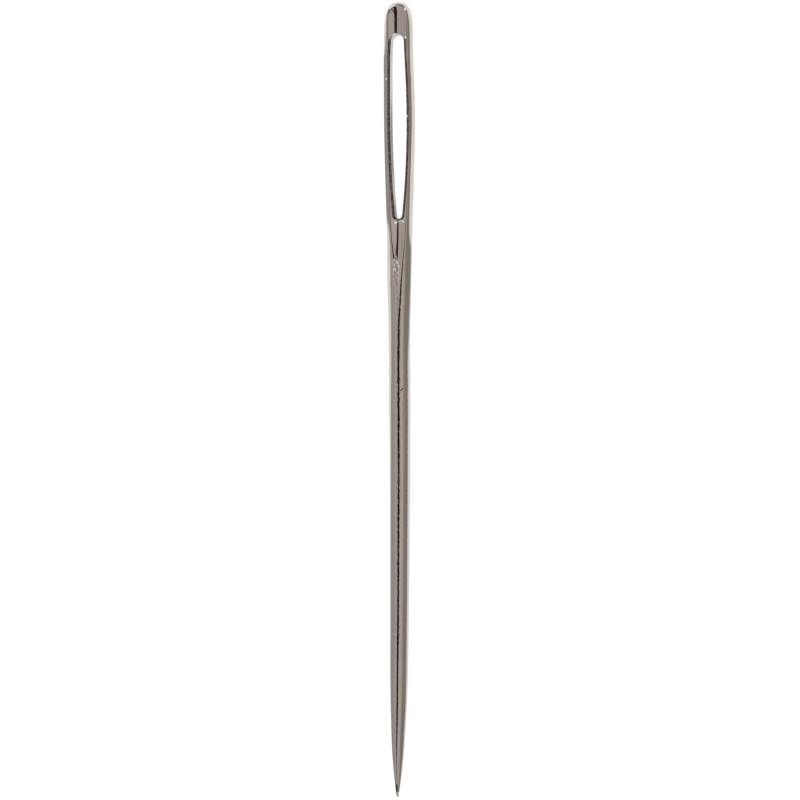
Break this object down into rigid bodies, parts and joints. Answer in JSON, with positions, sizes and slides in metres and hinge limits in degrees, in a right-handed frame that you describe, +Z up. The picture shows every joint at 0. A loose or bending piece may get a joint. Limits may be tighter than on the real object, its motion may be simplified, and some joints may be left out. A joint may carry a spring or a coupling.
{
  "type": "yarn needle",
  "caption": "Blunt-pointed steel yarn needle: a round tapering shank and a flattened head with a long punched eye between shallow gutters.",
  "frame": {"origin": "on the surface the needle lies on, under the middle of its length", "axes": "+Y along the needle from its point to its crown, +X across the eye's width, +Z up out of the eye's face"},
  "size_m": [0.0028, 0.07, 0.0019],
  "materials": {
    "plated_steel": "polished nickel plate on hardened steel wire, with fine lengthwise polishing lines"
  },
  "bodies": {
    "root": {"shank": "plated_steel", "eye_side_left": "plated_steel", "eye_side_right": "plated_steel", "crown": "plated_steel"}
  },
  "joints": []
}
